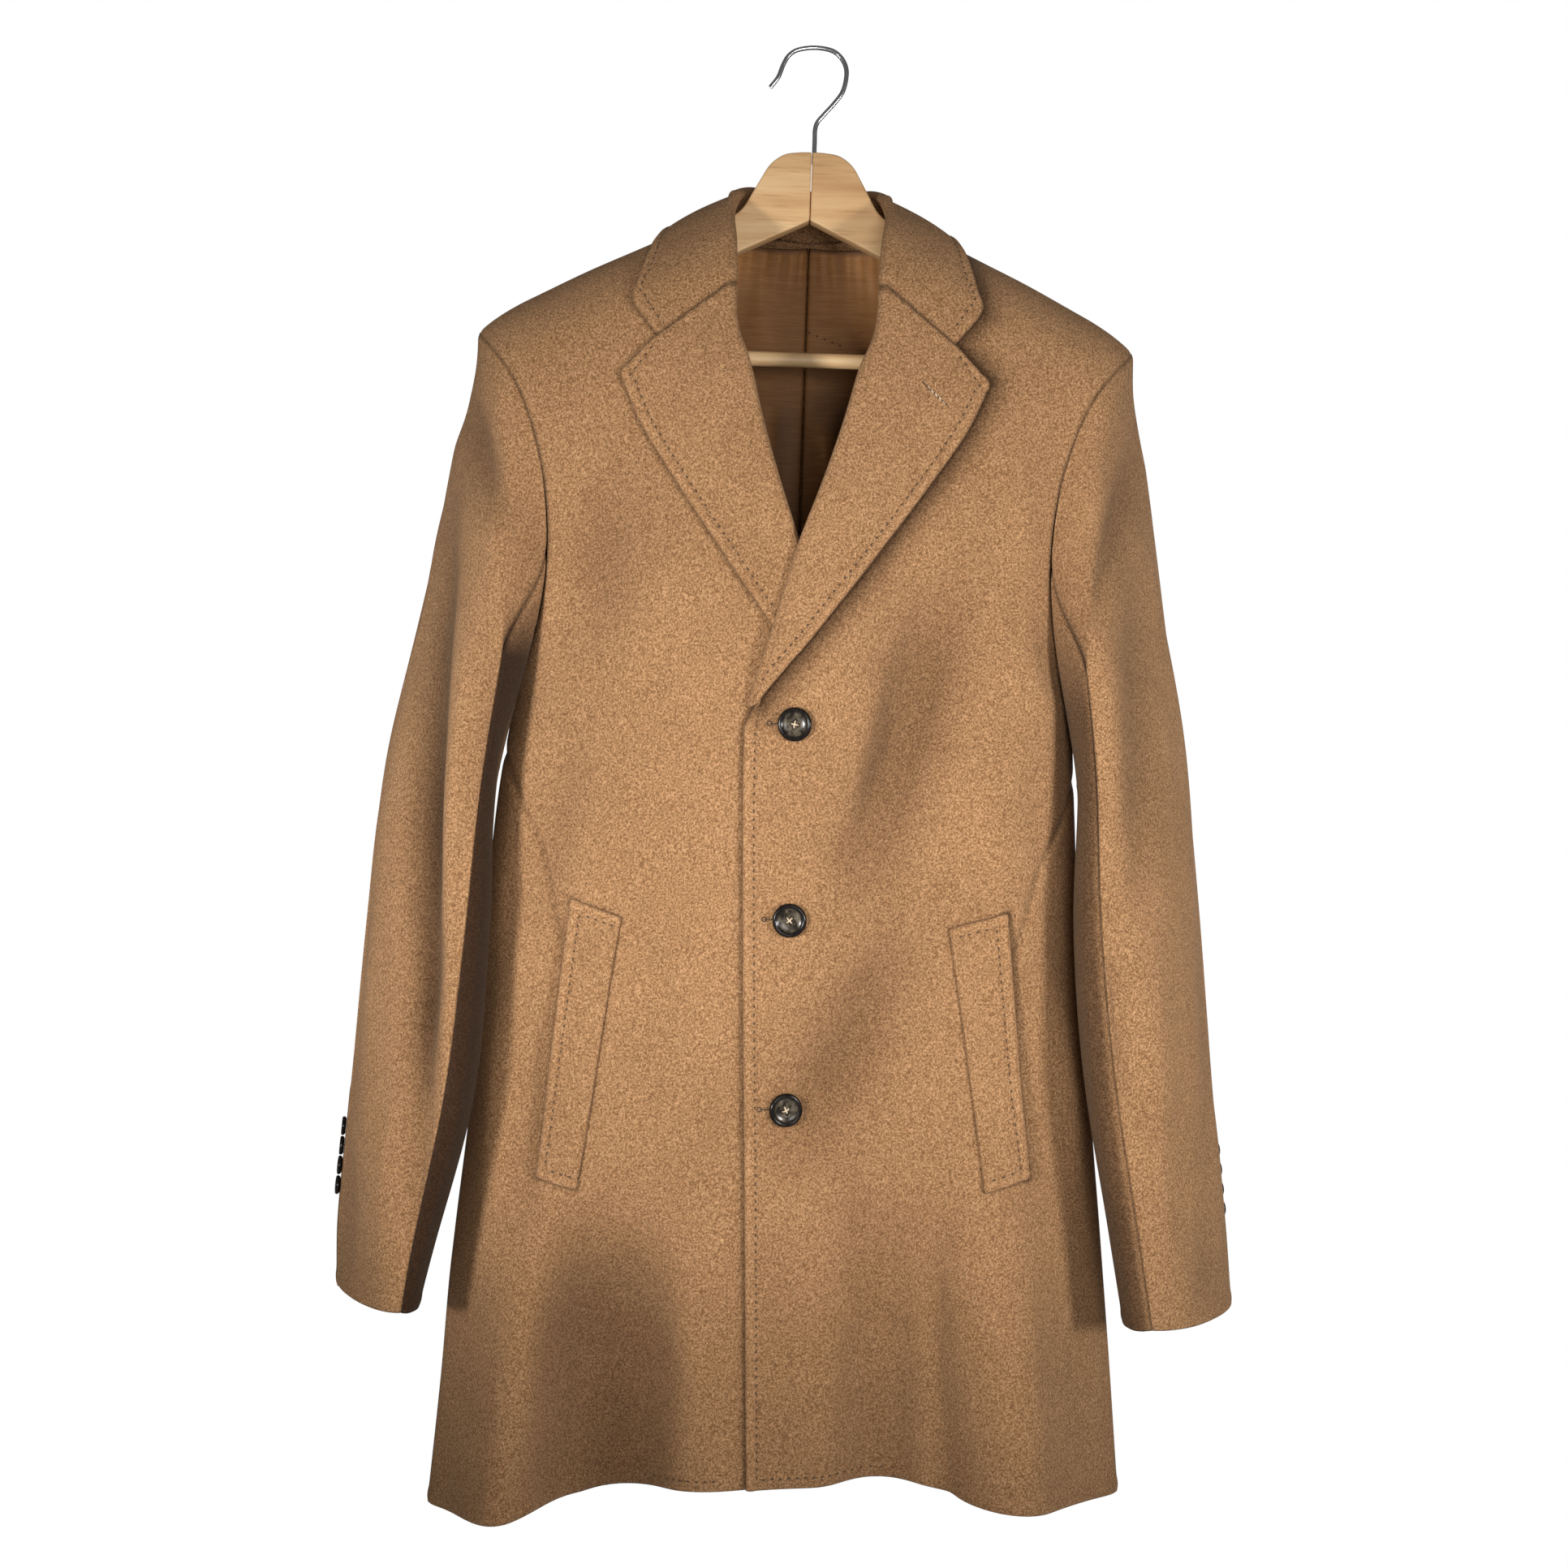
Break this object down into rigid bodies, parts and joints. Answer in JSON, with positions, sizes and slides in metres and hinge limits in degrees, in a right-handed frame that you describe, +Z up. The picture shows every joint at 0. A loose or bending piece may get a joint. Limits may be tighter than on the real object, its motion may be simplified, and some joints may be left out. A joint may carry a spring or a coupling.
{
  "type": "wool overcoat on a wooden hanger",
  "caption": "Single-breasted camel wool overcoat with notch lapels, slanted welt pockets and horn buttons, hanging open at the neck on a flat wooden hanger with a trouser bar.",
  "frame": {"origin": "inside top of the hanger's hook, where it rests on a rail", "axes": "+Z up, -Y the front of the coat, +X the wearer's left side"},
  "size_m": [0.6245, 0.1589, 1.0242],
  "materials": {
    "camel_wool": "napped",
    "lining": "smooth ribbed",
    "horn": "polished, mottled",
    "wood": "satin varnish",
    "steel": "bright"
  },
  "bodies": {
    "root": {"front_right": "camel_wool", "front_left": "camel_wool", "back_right": "camel_wool", "back_left": "camel_wool", "sleeve_top_right": "camel_wool", "sleeve_top_left": "camel_wool", "sleeve_under_right": "camel_wool", "sleeve_under_left": "camel_wool", "collar": "camel_wool", "lapel_right": "camel_wool", "lapel_left": "camel_wool", "welt_right": "camel_wool", "welt_left": "camel_wool", "lining_right": "lining", "lining_left": "lining", "button_1": "horn", "button_2": "horn", "button_3": "horn", "cuff_button_right_1": "horn", "cuff_button_right_2": "horn", "cuff_button_right_3": "horn", "cuff_button_right_4": "horn", "cuff_button_left_1": "horn", "cuff_button_left_2": "horn", "cuff_button_left_3": "horn", "cuff_button_left_4": "horn", "hanger": "wood", "trouser_bar": "wood", "hook": "steel"}
  },
  "joints": []
}
